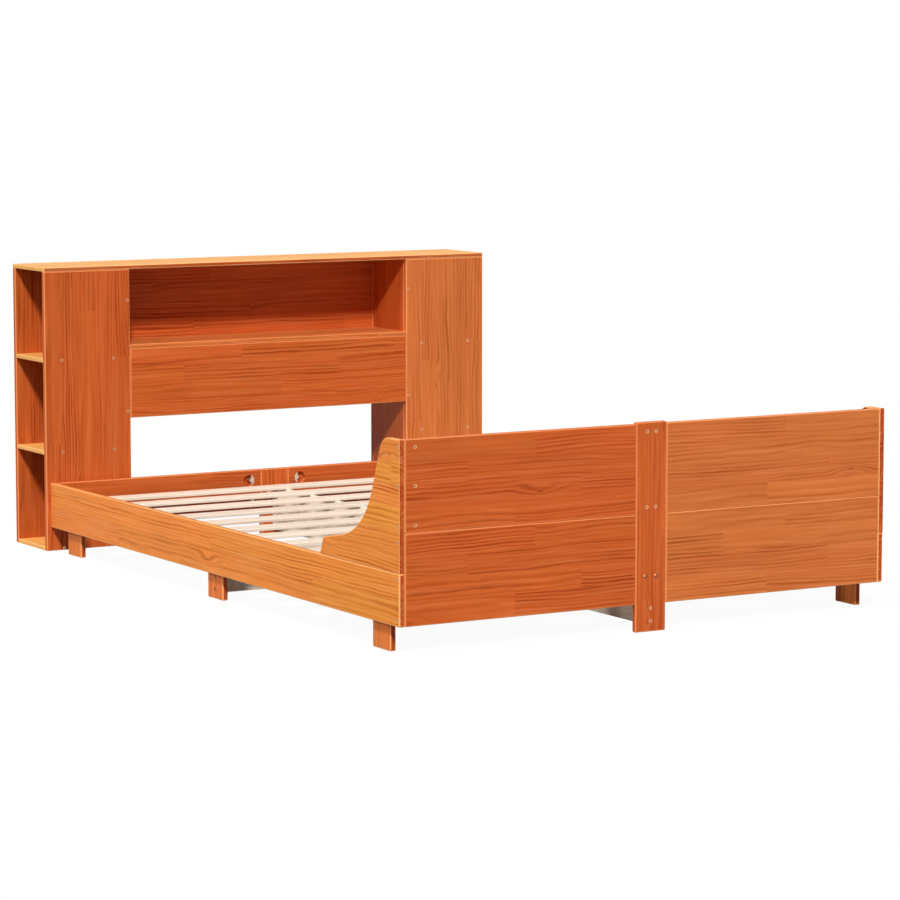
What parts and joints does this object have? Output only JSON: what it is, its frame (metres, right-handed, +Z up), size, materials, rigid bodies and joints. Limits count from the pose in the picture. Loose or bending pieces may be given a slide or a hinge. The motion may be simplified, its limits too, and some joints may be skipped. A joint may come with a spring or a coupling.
{
  "type": "bookcase bed",
  "caption": "Double bed of stained pine boards with a slatted base, curved wings at a boarded foot end and an open bookcase as its headboard.",
  "frame": {"origin": "on the floor, under the middle of the whole bed with its bookcase", "axes": "+Y from the foot end to the head, +X to the right seen from the foot end, +Z up"},
  "size_m": [1.474, 2.284, 0.825],
  "materials": {
    "stained_pine": "waxed, orange-brown stained solid pine of glued staves",
    "pale_pine": "planed, untreated pine",
    "zinc_plated_steel": "zinc plated, satin"
  },
  "bodies": {
    "root": {"left_side_rail": "stained_pine", "right_side_rail": "stained_pine", "left_wing": "stained_pine", "right_wing": "stained_pine", "foot_lower_board_left": "stained_pine", "foot_lower_board_right": "stained_pine", "foot_upper_board_left": "stained_pine", "foot_upper_board_right": "stained_pine", "foot_centre_post": "stained_pine", "foot_backing_board": "stained_pine", "foot_corner_battens": "stained_pine", "head_rail_left": "stained_pine", "head_rail_right": "stained_pine", "head_centre_post": "stained_pine", "leg_foot_left": "stained_pine", "leg_foot_right": "stained_pine", "leg_middle_left": "stained_pine", "leg_middle_right": "stained_pine", "leg_head_left": "stained_pine", "leg_head_right": "stained_pine", "bookcase_top": "stained_pine", "bookcase_front_left": "stained_pine", "bookcase_front_right": "stained_pine", "bookcase_side_left": "stained_pine", "bookcase_side_right": "stained_pine", "bookcase_back_left": "stained_pine", "bookcase_back_right": "stained_pine", "shelf_bottom_left": "stained_pine", "shelf_bottom_right": "stained_pine", "shelf_lower_left": "stained_pine", "shelf_lower_right": "stained_pine", "shelf_upper_left": "stained_pine", "shelf_upper_right": "stained_pine", "bay_shelf": "stained_pine", "bay_front_panel": "stained_pine", "bay_back_panel": "stained_pine", "centre_beam": "pale_pine", "middle_cross_beam": "pale_pine", "slat_ledges": "pale_pine", "beam_cleats": "pale_pine", "slat_01": "pale_pine", "slat_02": "pale_pine", "slat_03": "pale_pine", "slat_04": "pale_pine", "slat_05": "pale_pine", "slat_06": "pale_pine", "slat_07": "pale_pine", "slat_08": "pale_pine", "slat_09": "pale_pine", "slat_10": "pale_pine", "slat_11": "pale_pine", "slat_12": "pale_pine", "slat_13": "pale_pine", "frame_screws": "zinc_plated_steel", "bookcase_screws": "zinc_plated_steel", "carriage_bolts": "zinc_plated_steel", "barrel_nuts": "zinc_plated_steel", "joint_rods": "zinc_plated_steel", "half_moon_washers": "zinc_plated_steel", "joint_nuts": "zinc_plated_steel"}
  },
  "joints": []
}
